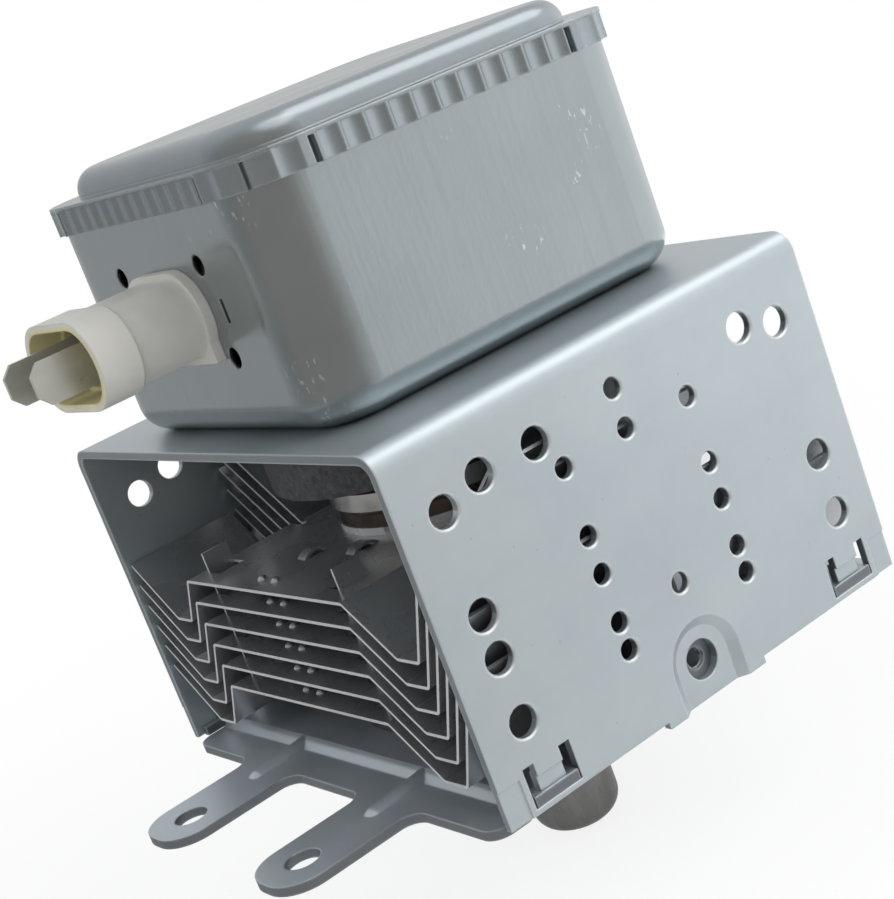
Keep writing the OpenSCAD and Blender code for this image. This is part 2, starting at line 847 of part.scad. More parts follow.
// One folded aluminium fin with the top of its flat at z = 0
module folded_fin() {
  front = -fin_l/2;
  inner = wing_split - wing_gap;
  difference() {
    union() {
      for (s = [0, 1])
        mirror([0, s, 0])
          along_y(front, -wing_split) folded_outline(trough_line(), fin_t, fin_bend);
      along_y(-inner, inner) folded_outline(wing_line(), fin_t, fin_bend);
      translate([-bridge_x, -wing_split - wing_gap, -fin_t])
        cube([2*bridge_x, 2*(wing_split + wing_gap), fin_t]);
      translate([0, 0, -fin_t]) cylinder(h = fin_t + fin_collar_h, r = fin_bore/2 + fin_t);
    }
    translate([0, 0, -fin_t - cut])
      cylinder(h = fin_t + fin_collar_h + 2*cut, d = fin_bore);
    for (s = [-1, 1]) {
      fin_window(spacer_left, s*spacer_y, 1);
      fin_window(spacer_right, s*spacer_y, -1);
      for (q = louvres)
        translate([q[0], s*q[1], 0]) louvre_window();
    }
  }
  for (s = [-1, 1]) {
    fin_spacer(spacer_left, s*spacer_y);
    fin_spacer(spacer_right, s*spacer_y);
    for (x = fin_dimples)
      translate([x, s*dimple_y, -fin_t/2]) sphere(dimple_r);
    for (q = louvres)
      translate([q[0], s*q[1], 0]) fin_louvre();
  }
}

module fin(index) color("#b9bcbd")
  translate([0, 0, fin_z0 + index*fin_pitch]) folded_fin();

module filter_box() color("#99a3a8")
  difference() {
    translate([0, 0, yoke_top]) drawn_pan(box_w, box_l, box_h, box_corner, box_edge);
    translate([0, 0, yoke_top + box_t])
      drawn_pan(box_w - 2*box_t, box_l - 2*box_t, box_h, box_corner - box_t, box_edge - box_t);
    translate([0, 0, yoke_top - cut]) cylinder(h = box_t + 2*cut, d = magnet_hole_d);
    translate([0, 0, axis_z])
      along_y(front_y - cut, front_y + box_t + cut) {
        slot_outline(tube_w - 2*shell_wall, tube_h - 2*shell_wall);
        for (sx = [-1, 1], sz = [-1, 1])
          translate([sx*screw_pitch_x/2, sz*screw_pitch_z/2]) circle(d = screw_hole_d);
        translate([latch_slit[0], 0]) square([latch_slit[1], latch_slit[2]], center = true);
      }
  }

// Skirt outline with faceted corners
module skirt_outline(w, l, corner) {
  square([w - 2*corner, l], center = true);
  square([w, l - 2*corner], center = true);
  for (sx = [-1, 1], sy = [-1, 1])
    translate([sx*(w/2 - corner), sy*(l/2 - corner)])
      polygon(concat([[0, 0]], [for (i = [0 : corner_facets])
        let (a = i*90/corner_facets) [sx*corner*cos(a), sy*corner*sin(a)]]));
}

// Row of pressed flutes along X, centred, pressed into a face that looks to -Y
module flute_row(length, count) {
  pitch = length/count;
  half = (pitch - flute_gap)/2;
  r = (half*half + flute_depth*flute_depth)/(2*flute_depth);
  for (i = [0 : count - 1])
    translate([(i + 0.5)*pitch - length/2, flute_depth - r, -cut])
      cylinder(h = skirt_h - flute_lip + cut, r = r);
}

// Flute in every facet of one skirt corner
module corner_flutes(w, l, corner) {
  step = 90/corner_facets;
  half = corner*sin(step/2) - flute_gap/2;
  r = (half*half + corner_flute*corner_flute)/(2*corner_flute);
  translate([w/2 - corner, l/2 - corner, -cut])
    for (i = [0 : corner_facets - 1])
      rotate([0, 0, (i + 0.5)*step])
        translate([corner*cos(step/2) - corner_flute + r, 0, 0])
          cylinder(h = skirt_h - flute_lip + cut, r = r);
}

// Slits that part the skirt at its front end, its middle and its side end of one corner
module corner_slits(w, l, corner) {
  h = 2*(skirt_h - box_t);
  translate([front_slit_x, l/2, 0]) cube([front_slit_w, 4*skirt_t, h], center = true);
  translate([w/2, side_slit_y, 0]) cube([4*skirt_t, side_slit_w, h], center = true);
  translate([w/2 - corner, l/2 - corner, 0])
    rotate([0, 0, 45])
      translate([corner, 0, 0]) cube([4*skirt_t, corner_slit_w, h], center = true);
}

module filter_cover() color("#a7b0b4") {
  w = box_w + 2*(skirt_gap + skirt_t);
  l = box_l + 2*(skirt_gap + skirt_t);
  corner = box_corner + skirt_gap + skirt_t;
  pan_w = w - 2*pan_ledge;
  pan_l = l - 2*pan_ledge;
  pan_corner = corner - pan_ledge + pan_edge;
  difference() {
    union() {
      translate([0, 0, cover_z + box_t - skirt_h])
        linear_extrude(skirt_h) skirt_outline(w, l, corner);
      translate([0, 0, cover_z + box_t + pan_rise])
        mirror([0, 0, 1]) drawn_pan(pan_w, pan_l, pan_rise + box_t, pan_corner, pan_edge);
    }
    translate([0, 0, cover_z - skirt_h])
      linear_extrude(skirt_h)
        rounded_outline(w - 2*skirt_t, l - 2*skirt_t, corner - skirt_t);
    translate([0, 0, cover_z + pan_rise])
      mirror([0, 0, 1])
        drawn_pan(pan_w - 2*box_t, pan_l - 2*box_t, pan_rise + cut, pan_corner - box_t, pan_edge - box_t);
    translate([0, 0, cover_z + box_t - skirt_h]) {
      for (sx = [0, 1], sy = [0, 1])
        mirror([sx, 0, 0]) mirror([0, sy, 0]) {
          corner_slits(w, l, corner);
          corner_flutes(w, l, corner);
        }
      for (a = [0, 180])
        rotate([0, 0, a]) {
          translate([0, -l/2, 0]) flute_row(2*front_slit_x - front_slit_w, front_flutes);
          translate([w/2, 0, 0])
            rotate([0, 0, 90]) flute_row(2*side_slit_y - side_slit_w, side_flutes);
        }
    }
  }
}

// Moulded connector: foot plate, oval tube and mouth collar
module connector_shell() color("#d8d6cc")
  translate([0, 0, axis_z])
    difference() {
      union() {
        along_y(front_y - plate_t, front_y) {
          slot_outline(plate_w, plate_h);
          translate([-plate_w/2 + shell_wall, -plate_h/2])
            square([plate_w - 2*shell_wall, plate_h/2]);
        }
        along_y(collar_y, front_y - plate_t/2) slot_outline(tube_w, tube_h);
        along_y(collar_y, collar_y + collar_l) slot_outline(collar_w, collar_h);
      }
      along_y(collar_y - cut, front_y + cut)
        slot_outline(tube_w - 2*shell_wall, tube_h - 2*shell_wall);
      along_y(collar_y - cut, collar_y + collar_l - shell_wall)
        slot_outline(collar_w - 2*shell_wall, collar_h - 2*shell_wall);
    }

// Moulded capacitor block inside the box and the bridge that fills the connector's root
module capacitor_body() color("#c9b98c")
  translate([0, 0, axis_z])
    difference() {
      union() {
        along_y(front_y + box_t, front_y + box_t + capacitor_l)
          slot_outline(capacitor_w + 2*shell_wall, capacitor_h + 2*shell_wall);
        along_y(front_y - plate_t, front_y + box_t + cut)
          slot_outline(tube_w - 2*shell_wall - 2*seat, tube_h - 2*shell_wall - 2*seat);
      }
      for (s = [-1, 1])
        translate([s*tab_pitch/2, 0, 0])
          cube([tab_t + 2*seat, 2*box_l, tab_w + 2*seat], center = true);
    }

// Flat terminal tab with a chamfered tip, through the capacitor block
module terminal_tab(side) color("#8d8b80")
  translate([side*tab_pitch/2 - tab_t/2, 0, axis_z])
    rotate([90, 0, 90])
      linear_extrude(tab_t)
        polygon([[tab_tail_y, -tab_w/2], [tab_tail_y, tab_w/2], [tab_tip_y + tab_chamfer, tab_w/2],
                 [tab_tip_y, tab_w/2 - tab_chamfer], [tab_tip_y, -tab_w/2 + tab_chamfer],
                 [tab_tip_y + tab_chamfer, -tab_w/2]]);

module terminal_tab_left() terminal_tab(-1);
module terminal_tab_right() terminal_tab(1);

// Close-wound choke with straight leads to its tab and its stem strap
module choke_coil(side) color("#b0653c") {
  pitch = choke_wire_r*choke_pitch;
  turns = floor((choke_rear - choke_front)/pitch);
  tab_face = tab_pitch/2 + tab_t/2;
  lead_y = [tab_tail_y - choke_wire_r - seat, strap_tail];
  translate([side*choke_x, choke_front, axis_z])
    rotate([-90, 0, 0])
      rotate_extrude()
        for (i = [0 : turns])
          translate([choke_r - choke_wire_r, i*pitch]) circle(choke_wire_r);
  mirror([side < 0 ? 1 : 0, 0, 0])
    translate([0, 0, axis_z - choke_r + choke_wire_r]) {
      translate([choke_x, lead_y[0], 0])
        rotate([-90, 0, 0]) cylinder(h = choke_front - lead_y[0], r = choke_wire_r);
      translate([0, lead_y[0], 0]) rod_x(tab_face, choke_x, choke_wire_r);
      translate([choke_x, lead_y[0], 0]) sphere(choke_wire_r);
      translate([0, lead_y[1], 0]) rod_x(tab_pitch/2, choke_x, choke_wire_r);
      translate([tab_pitch/2, lead_y[1], 0]) sphere(choke_wire_r);
    }
  drop = axis_z - choke_r + choke_wire_r - stem_top - strap_plate_t;
  translate([side*tab_pitch/2, lead_y[1], stem_top + strap_plate_t])
    cylinder(h = drop, r = choke_wire_r);
}

module choke_coil_left() choke_coil(-1);
module choke_coil_right() choke_coil(1);

module ferrite_core(side) color("#3a3a3e")
  translate([side*choke_x, choke_front - core_over, axis_z])
    rotate([-90, 0, 0])
      cylinder(h = choke_rear - choke_front + 2*core_over, r = core_r);

module ferrite_core_left() ferrite_core(-1);
module ferrite_core_right() ferrite_core(1);

yoke_frame();
base_plate();
rf_gasket();
upper_magnet();
lower_magnet();
anode_block();
strap_ring_upper_outer();
strap_ring_upper_inner();
strap_ring_lower_outer();
strap_ring_lower_inner();
upper_pole_piece();
lower_pole_piece();
upper_seal_cup();
lower_seal_cup();
cathode_filament();
upper_end_hat();
lower_end_hat();
center_lead();
side_lead();
stem_ceramic();
center_terminal();
side_terminal();
antenna_lead();
exhaust_tube();
antenna_ceramic();
antenna_cap();
fin(0);  // fin_1
fin(1);  // fin_2
fin(2);  // fin_3
fin(3);  // fin_4
fin(4);  // fin_5
fin(5);  // fin_6
filter_box();
filter_cover();
connector_shell();
capacitor_body();
terminal_tab_left();
terminal_tab_right();
choke_coil_left();
choke_coil_right();
ferrite_core_left();
ferrite_core_right();
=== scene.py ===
from math import cos, pi, sin
import bmesh
import bpy
from mathutils import Matrix, Vector


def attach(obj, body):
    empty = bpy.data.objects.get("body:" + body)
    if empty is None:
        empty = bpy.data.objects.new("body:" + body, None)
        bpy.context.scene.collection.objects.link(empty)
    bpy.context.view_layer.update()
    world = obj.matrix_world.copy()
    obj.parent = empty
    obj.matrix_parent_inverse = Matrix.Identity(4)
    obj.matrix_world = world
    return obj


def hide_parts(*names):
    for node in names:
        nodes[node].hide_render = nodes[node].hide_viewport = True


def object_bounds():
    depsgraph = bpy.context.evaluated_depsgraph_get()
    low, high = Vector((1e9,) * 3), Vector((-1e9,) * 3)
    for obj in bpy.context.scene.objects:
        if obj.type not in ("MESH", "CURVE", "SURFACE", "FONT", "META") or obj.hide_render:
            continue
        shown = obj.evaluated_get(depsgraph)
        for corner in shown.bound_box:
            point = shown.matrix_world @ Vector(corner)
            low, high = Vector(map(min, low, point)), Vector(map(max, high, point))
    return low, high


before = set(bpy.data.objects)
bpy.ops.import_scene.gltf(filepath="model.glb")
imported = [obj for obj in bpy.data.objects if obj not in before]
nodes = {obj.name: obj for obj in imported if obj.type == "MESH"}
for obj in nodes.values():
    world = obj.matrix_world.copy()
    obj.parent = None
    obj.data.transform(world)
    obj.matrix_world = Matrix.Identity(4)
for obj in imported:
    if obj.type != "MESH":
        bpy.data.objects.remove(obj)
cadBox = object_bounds()
mm = 0.001
white = (1.0, 1.0, 1.0)

print("stage: camera")
photoCamera = {
    "position": (0.24411, -0.14993, 0.10974),
    "right": (0.54939, 0.76059, -0.34593),  # picture's right, the camera leans to its left
    "up": (-0.00979, 0.41984, 0.90755),
    "focal": 1837.8,  # in pixels of the 894 x 899 picture
    "centre": (417.1, 457.7),
    "picture": (894, 899),
    "sensor": 36.0,
    "clip": (0.01, 20.0),
}


def aimCamera(spec):
    data = bpy.data.cameras.new("photo_camera")
    cam = bpy.data.objects.new("photo_camera", data)
    bpy.context.collection.objects.link(cam)
    right = Vector(spec["right"]).normalized()
    up = Vector(spec["up"])
    up = (up - right * up.dot(right)).normalized()
    back = right.cross(up)
    turn = Matrix((right, up, back)).transposed().to_4x4()
    cam.matrix_world = Matrix.Translation(spec["position"]) @ turn
    wide, high = spec["picture"]
    data.sensor_fit = "HORIZONTAL"
    data.sensor_width = spec["sensor"]
    data.lens = spec["focal"] * spec["sensor"] / wide
    data.shift_x = (wide / 2 - spec["centre"][0]) / wide
    data.shift_y = (spec["centre"][1] - high / 2) / wide
    data.clip_start, data.clip_end = spec["clip"]
    bpy.context.scene.camera = cam


aimCamera(photoCamera)

print("stage: floor and light")
bpy.context.scene.view_settings.view_transform = "Standard"


def nodeTree(owner):
    owner.use_nodes = True
    tree = owner.node_tree
    tree.nodes.clear()
    return tree


# Links a socket to another, or sets a plain value on it
def feed(tree, value, socket):
    if isinstance(value, bpy.types.NodeSocket):
        tree.links.new(value, socket)
    elif socket.type == "RGBA":
        socket.default_value = (*value, 1)
    else:
        socket.default_value = value


# A node with its first inputs in their order, and other inputs or settings by name
def addNode(tree, kind, *sources, **values):
    made = tree.nodes.new(kind)
    for socket, source in zip(made.inputs, sources):
        feed(tree, source, socket)
    for key, value in values.items():
        if key in made.inputs:
            feed(tree, value, made.inputs[key])
        else:
            setattr(made, key, value)
    return made


# Carries a value from one range to another; the range it starts from suits a noise texture
def span(tree, value, low, high, fromLow=0.3, fromHigh=0.7, smooth=False):
    sources = (value, fromLow, fromHigh, low, high)
    kind = "SMOOTHSTEP" if smooth else "LINEAR"
    return addNode(tree, "ShaderNodeMapRange", *sources, interpolation_type=kind).outputs["Result"]


def calc(tree, operation, first, second=0):
    return addNode(tree, "ShaderNodeMath", first, second, operation=operation).outputs[0]


def distance(tree, first, second):
    squares = [calc(tree, "MULTIPLY", side, side) for side in (first, second)]
    return calc(tree, "SQRT", calc(tree, "ADD", *squares))


def dotProduct(tree, first, second):
    return addNode(tree, "ShaderNodeVectorMath", first, second, operation="DOT_PRODUCT").outputs["Value"]


def axes(tree, vector):
    return addNode(tree, "ShaderNodeSeparateXYZ", vector).outputs


def geometry(tree, output):
    return addNode(tree, "ShaderNodeNewGeometry").outputs[output]


def blendColours(tree, factor, first, second):
    mix = addNode(tree, "ShaderNodeMix", factor, data_type="RGBA")
    feed(tree, first, mix.inputs[6])  # the node's colours come after its numbers and vectors
    feed(tree, second, mix.inputs[7])
    return mix.outputs[2]


def blendShaders(tree, factor, first, second):
    return addNode(tree, "ShaderNodeMixShader", factor, first.outputs[0], second.outputs[0])


# Rays that see the plain background: the camera's, and those mirrored or passed on by the object
def backgroundRays(tree):
    path = addNode(tree, "ShaderNodeLightPath").outputs
    mirrored = calc(tree, "MAXIMUM", path["Is Glossy Ray"], path["Is Transmission Ray"])
    return path["Is Camera Ray"], mirrored


# Sides of the room as metal shows them: the way to each, and the cosines over which its shade sets in
cameraEnd = {"way": (0.5, -0.866, -0.08), "cosine": (-0.2, 0.75), "shade": 0.51, "tint": (1.0, 0.93, 0.87)}
socketEnd = {"way": (-0.87, -0.48, -0.12), "cosine": (0.5, 0.95), "shade": 0.74, "tint": white}
brightWindow = {"way": (0.26, 0.95, -0.10), "cosine": (0.50, 0.95), "shade": 1.6, "tint": white}
litPanel = {"way": (0.52, 0.05, 0.85), "cosine": (0.87, 0.95), "shade": 2.6, "tint": white}
room = {
    "colour": (0.95, 0.98, 1.0),
    "strength": 0.38,
    "wallShade": 0.72,  # the walls in metal, beside the white floor
    "sides": (cameraEnd, socketEnd, brightWindow, litPanel),
}


def buildWorld(spec):
    world = bpy.data.worlds.new("studio_room")
    bpy.context.scene.world = world
    tree = nodeTree(world)
    out = addNode(tree, "ShaderNodeOutputWorld")
    way = addNode(tree, "ShaderNodeTexCoord").outputs["Generated"]
    shade = spec["wallShade"]
    tint = white
    for side in spec["sides"]:
        cosine = dotProduct(tree, way, Vector(side["way"]).normalized())
        nearness = span(tree, cosine, 0, 1, *side["cosine"], True)
        shade = calc(tree, "MULTIPLY", shade, span(tree, nearness, 1.0, side["shade"], 0, 1))
        tint = blendColours(tree, nearness, tint, side["tint"])
    seen, mirrored = backgroundRays(tree)
    tint = blendColours(tree, seen, tint, white)
    shade = calc(tree, "MAXIMUM", shade, seen)
    lit = addNode(tree, "ShaderNodeBackground", spec["colour"], spec["strength"])
    plain = addNode(tree, "ShaderNodeBackground", tint, shade)
    pick = blendShaders(tree, calc(tree, "MAXIMUM", seen, mirrored), lit, plain)
    feed(tree, pick.outputs[0], out.inputs["Surface"])


lamps = {
    "key_lamp": {"place": (0.31, 0.27, 0.27), "size": 0.3, "power": 1.6, "colour": (1.0, 0.99, 0.98)},
    "fill_lamp": {"place": (-0.5, -0.9, 0.6), "size": 0.8, "power": 4.0, "colour": (0.97, 0.985, 1.0)},
    "top_lamp": {"place": (-0.2, 0.2, 1.2), "size": 1.6, "power": 4.0, "colour": white},
    "front_lamp": {"place": (0.60, -0.60, 0.50), "size": 0.6, "power": 1.5, "colour": white},
    "glint_lamp": {"place": (0.14, 0.385, 0.60), "size": 0.4, "power": 0.7, "colour": white},
}
lampTarget = Vector((0, 0, 0.04))


def addLamp(name, spec):
    data = bpy.data.lights.new(name, "AREA")
    data.shape = "SQUARE"
    data.size = spec["size"]
    data.energy = spec["power"]
    data.color = spec["colour"]
    lamp = bpy.data.objects.new(name, data)
    bpy.context.collection.objects.link(lamp)
    lamp.location = spec["place"]
    away = Vector(spec["place"]) - lampTarget
    lamp.rotation_euler = away.to_track_quat("Z", "Y").to_euler()
    lamp.visible_glossy = name == "glint_lamp"  # only this one shows as a spark on metal
    lamp.visible_diffuse = not lamp.visible_glossy


paleFloor = {
    "radius": 0.42,
    "sides": 96,
    "colour": (0.93, 0.93, 0.93),
    "fade": (0.07, 0.28),  # distances from the axis over which the shadow gives way to plain white
    "shadowSeen": 0.16,
    "shadowMirrored": 0.6,
    "mirroredTone": (0.34, 1.22),  # in metal, from the front to the bright window's side
    "mirroredReach": (-0.04, 0.25),
}


def floorMaterial(spec):
    mat = bpy.data.materials.new("pale_floor")
    tree = nodeTree(mat)
    out = addNode(tree, "ShaderNodeOutputMaterial")
    place = addNode(tree, "ShaderNodeTexCoord").outputs["Object"]
    away = addNode(tree, "ShaderNodeVectorMath", place, operation="LENGTH").outputs["Value"]
    seen, mirrored = backgroundRays(tree)
    shares = []
    for rays, shadow in ((seen, spec["shadowSeen"]), (mirrored, spec["shadowMirrored"])):
        share = span(tree, away, 1 - shadow, 1, *spec["fade"], True)
        shares.append(calc(tree, "MULTIPLY", share, rays))
    tone = span(tree, axes(tree, place)["Y"], *spec["mirroredTone"], *spec["mirroredReach"])
    strength = calc(tree, "MAXIMUM", seen, calc(tree, "MULTIPLY", mirrored, tone))
    matt = addNode(tree, "ShaderNodeBsdfDiffuse", spec["colour"])
    glow = addNode(tree, "ShaderNodeEmission", white, strength)
    pick = blendShaders(tree, calc(tree, "MAXIMUM", *shares), matt, glow)
    clear = addNode(tree, "ShaderNodeBsdfTransparent")  # the floor hides nothing in a view from below
    pick = blendShaders(tree, geometry(tree, "Backfacing"), pick, clear)
    feed(tree, pick.outputs[0], out.inputs["Surface"])
    return mat


def buildFloor(spec, height):
    mesh = bpy.data.meshes.new("floor")
    bm = bmesh.new()
    bmesh.ops.create_circle(bm, cap_ends=True, segments=spec["sides"], radius=spec["radius"])
    bmesh.ops.translate(bm, verts=bm.verts, vec=(0, 0, height))
    bm.to_mesh(mesh)
    bm.free()
    mesh.materials.append(floorMaterial(spec))
    floor = bpy.data.objects.new("floor", mesh)
    bpy.context.collection.objects.link(floor)


buildWorld(room)
for lampName, lampSpec in lamps.items():
    addLamp(lampName, lampSpec)
buildFloor(paleFloor, cadBox[0].z)

print("stage: materials")


def startMaterial(name):
    mat = bpy.data.materials.new(name)
    tree = nodeTree(mat)
    out = addNode(tree, "ShaderNodeOutputMaterial")
    shader = addNode(tree, "ShaderNodeBsdfPrincipled")
    feed(tree, shader.outputs[0], out.inputs["Surface"])
    place = addNode(tree, "ShaderNodeTexCoord").outputs["Object"]
    return mat, tree, shader, place


def dress(mat, *names):
    for name in names:
        nodes[name].data.materials[0] = mat


def noise(tree, place, scale, detail, stretch=None):
    if stretch:
        place = addNode(tree, "ShaderNodeMapping", place, Scale=stretch).outputs["Vector"]
    tex = addNode(tree, "ShaderNodeTexNoise", place, Scale=scale, Detail=detail, Roughness=0.55)
    return tex.outputs["Fac"]


# A tone that drifts between two colours, with a gloss that drifts along
def cloudyTone(tree, shader, place, spec, detail):
    cloud = noise(tree, place, spec["cloud"], detail, spec.get("stretch"))
    feed(tree, span(tree, cloud, *spec["roughness"]), shader.inputs["Roughness"])
    return blendColours(tree, span(tree, cloud, 0, 1), spec["dark"], spec["light"])


# Relief under a shader, or under a finer relief that is there already
def addBump(tree, upper, height, strength, depth):
    bump = addNode(tree, "ShaderNodeBump", Strength=strength, Distance=depth, Height=height)
    feed(tree, bump.outputs["Normal"], upper.inputs["Normal"])
    return bump


# Edges that catch the light as if broken by a small radius
def softEdges(tree, bump, radius):
    softened = addNode(tree, "ShaderNodeBevel", samples=4, Radius=radius).outputs["Normal"]
    feed(tree, softened, bump.inputs["Normal"])
    return softened


# Share of a surface told by how far it faces along an axis, for the cut edges of a sheet; where a dark
# colour goes on it, that is partly painted shade
def shearedShare(tree, spec):
    facing = calc(tree, "ABSOLUTE", axes(tree, geometry(tree, "True Normal"))[spec["axis"]])
    return span(tree, facing, *spec["share"], *spec["facing"])


frontEdges = {"axis": "Y", "facing": (0.93, 0.96), "share": (0, 1)}  # those that look to the front or rear
sideEdges = {"axis": "Z", "facing": (0.1, 0.3), "share": (1, 0)}  # those that look to any side


# Share of a side plate that gets a painted highlight on the rolled rim of a hole: it slopes, below the bend
# and off the recess
def rimHighlightShare(tree, place, spec):
    slope = calc(tree, "ABSOLUTE", axes(tree, geometry(tree, "Normal"))["X"])
    share = span(tree, slope, 0, 1, *spec["steep"])
    share = calc(tree, "MULTIPLY", share, span(tree, slope, 1, 0, *spec["flat"]))
    parts = axes(tree, place)
    share = calc(tree, "MULTIPLY", share, span(tree, parts["Z"], 1, 0, *spec["bend"]))
    rise = calc(tree, "SUBTRACT", parts["Z"], spec["recessLevel"])
    away = distance(tree, rise, parts["Y"])
    return calc(tree, "MULTIPLY", share, span(tree, away, 0, 1, *spec["recessReach"]))


# Zinc-coated sheet: cloudy tone, fine grain, faint drawing lines, dark specks, scuffs, cut edges darkened
# partly with painted shade, and a painted highlight on edges and hole rims
def zincSheet(name, spec):
    mat, tree, shader, place = startMaterial(name)
    shader.inputs["Metallic"].default_value = spec["metallic"]
    tone = cloudyTone(tree, shader, place, spec, 4)
    lines = noise(tree, place, 1.0, 2, spec["lines"])
    drawn = span(tree, lines, 0, spec["lineShare"], *spec["lineBand"])
    tone = blendColours(tree, drawn, tone, spec["lineColour"])
    fleck = addNode(tree, "ShaderNodeTexVoronoi", place, Scale=spec["fleck"]).outputs["Distance"]
    fleck = span(tree, fleck, spec["fleckShare"], 0, *spec["fleckReach"])
    tone = blendColours(tree, fleck, tone, spec["fleckColour"])
    scuffs = spec["scuffs"]
    if scuffs:
        cluster = noise(tree, place, scuffs["cluster"], 1)
        cluster = span(tree, cluster, 0, scuffs["share"], *scuffs["clusterBand"])
        scratch = noise(tree, place, 1.0, 3, scuffs["scratch"])
        scratch = span(tree, scratch, 0, 1, *scuffs["scratchBand"])
        tone = blendColours(tree, calc(tree, "MULTIPLY", cluster, scratch), tone, spec["scuffAndHighlightColour"])
    # Faces turned to the chosen axis take a darker colour: partly the bare steel of cut edges, partly
    # painted shade
    if spec["sheared"]:
        tone = blendColours(tree, shearedShare(tree, spec["sheared"]), tone, spec["shearAndShadeColour"])
    grain = noise(tree, place, spec["grain"], 2)
    bump = addBump(tree, shader, grain, spec["grainBump"], spec["grainDepth"])
    if spec["lineDepth"]:
        bump = addBump(tree, bump, lines, 1.0, spec["lineDepth"])
    softened = softEdges(tree, bump, spec["edge"])
    # Painted highlight: a light colour laid where the softened normal bends away, on edges and, where given,
    # hole rims
    paintedHighlight = span(tree, dotProduct(tree, softened, geometry(tree, "Normal")), 1, 0, *spec["edgeBend"])
    if spec["rims"]:
        paintedHighlight = calc(tree, "MAXIMUM", paintedHighlight, rimHighlightShare(tree, place, spec["rims"]))
    tone = blendColours(tree, calc(tree, "MULTIPLY", paintedHighlight, spec["paintedHighlightShare"]), tone, spec["scuffAndHighlightColour"])
    feed(tree, tone, shader.inputs["Base Color"])
    return mat


plainZinc = {
    "dark": (0.46, 0.515, 0.54), "light": (0.52, 0.575, 0.60), "cloud": 55.0,
    "metallic": 0.75, "roughness": (0.30, 0.40),
    "grain": 2600.0, "grainBump": 0.12, "grainDepth": 0.06 * mm,
    "lines": (30, 30, 700), "lineBand": (0.5, 0.75), "lineShare": 0.08,
    "lineColour": (0.40, 0.45, 0.47), "lineDepth": 0,
    "fleck": 260.0, "fleckReach": (0.02, 0.06), "fleckShare": 0.6, "fleckColour": (0.34, 0.38, 0.40),
    # cut edges in a darker colour: partly bare steel, partly painted shade
    "sheared": frontEdges, "shearAndShadeColour": (0.27, 0.30, 0.32),
    # one light colour for the real scuffs and for the painted highlight on edges; the share is the
    # highlight's
    "edge": 0.45 * mm, "edgeBend": (0.90, 0.985), "paintedHighlightShare": 0.85, "scuffAndHighlightColour": (0.80, 0.83, 0.85),
    "scuffs": None, "rims": None,
}
# the rims of the side plate's holes take the painted highlight
yokeRims = {
    "steep": (0.2, 0.4), "flat": (0.90, 0.97), "bend": (50 * mm, 51 * mm),
    "recessLevel": 6.35 * mm, "recessReach": (9.2 * mm, 10 * mm),
}
yokeZinc = dict(plainZinc, rims=yokeRims)
baseZinc = dict(
    plainZinc, dark=(0.53, 0.59, 0.635), light=(0.585, 0.64, 0.69), roughness=(0.38, 0.48),
    # every face turned to a side darker still: partly bare steel on the cut edges, partly painted shade
    sheared=sideEdges, shearAndShadeColour=(0.19, 0.205, 0.22), paintedHighlightShare=0.4,
)
boxScuffs = {
    "cluster": 75.0, "clusterBand": (0.64, 0.70), "share": 0.6,
    "scratch": (1500, 1500, 700), "scratchBand": (0.60, 0.66),
}
boxZinc = dict(
    plainZinc, dark=(0.355, 0.395, 0.41), light=(0.395, 0.435, 0.45), roughness=(0.15, 0.24), metallic=0.96,
    lines=(700, 700, 14), lineShare=0.25, lineColour=(0.32, 0.35, 0.365), lineDepth=0.016 * mm,
    grain=1500.0, grainBump=0.28, sheared=None, scuffs=boxScuffs, paintedHighlightShare=0.3,
)
coverZinc = dict(
    plainZinc, dark=(0.305, 0.345, 0.365), light=(0.345, 0.385, 0.405), roughness=(0.18, 0.28), metallic=0.8,
    grainBump=0.2, sheared=None, paintedHighlightShare=0.25,
)
dress(zincSheet("yoke_zinc", yokeZinc), "yoke_frame")
dress(zincSheet("base_zinc", baseZinc), "base_plate")
dress(zincSheet("box_zinc", boxZinc), "filter_box")
dress(zincSheet("cover_zinc", coverZinc), "filter_cover")

metalGrainDepth = 0.08 * mm


# Plain metals with a cloudy tone, a fine grain and their own gloss
def plainMetal(name, spec):
    mat, tree, shader, place = startMaterial(name)
    tone = cloudyTone(tree, shader, place, spec, 3)
    shader.inputs["Metallic"].default_value = spec["metallic"]
    if "sheared" in spec:
        edge = shearedShare(tree, spec["sheared"])
        tone = blendColours(tree, edge, tone, spec["shearAndShadeColour"])
        metallic = span(tree, edge, spec["metallic"], spec["shearMetallic"], 0, 1)
        feed(tree, metallic, shader.inputs["Metallic"])
    feed(tree, tone, shader.inputs["Base Color"])
    addBump(tree, shader, noise(tree, place, spec["grain"], 2), spec["bump"], metalGrainDepth)
    return mat


finSheet = {
    "dark": (0.47, 0.48, 0.495), "light": (0.57, 0.58, 0.595), "cloud": 90.0, "grain": 1800.0,
    "metallic": 0.85, "roughness": (0.22, 0.34), "bump": 0.1,
    "sheared": frontEdges, "shearAndShadeColour": (0.52, 0.52, 0.53), "shearMetallic": 0.2,
}
brightCup = {
    "dark": (0.70, 0.69, 0.65), "light": (0.80, 0.79, 0.75), "cloud": 120.0, "grain": 2000.0,
    "metallic": 1.0, "roughness": (0.18, 0.3), "bump": 0.05,
}
capMetal = {
    "dark": (0.25, 0.245, 0.235), "light": (0.33, 0.32, 0.31), "cloud": 260.0, "stretch": (1, 1, 0.3),
    "grain": 2200.0, "metallic": 1.0, "roughness": (0.24, 0.32), "bump": 0.05,
}
copperMetal = {
    "dark": (0.44, 0.19, 0.10), "light": (0.56, 0.27, 0.15), "cloud": 110.0, "grain": 1800.0,
    "metallic": 1.0, "roughness": (0.28, 0.42), "bump": 0.08,
}
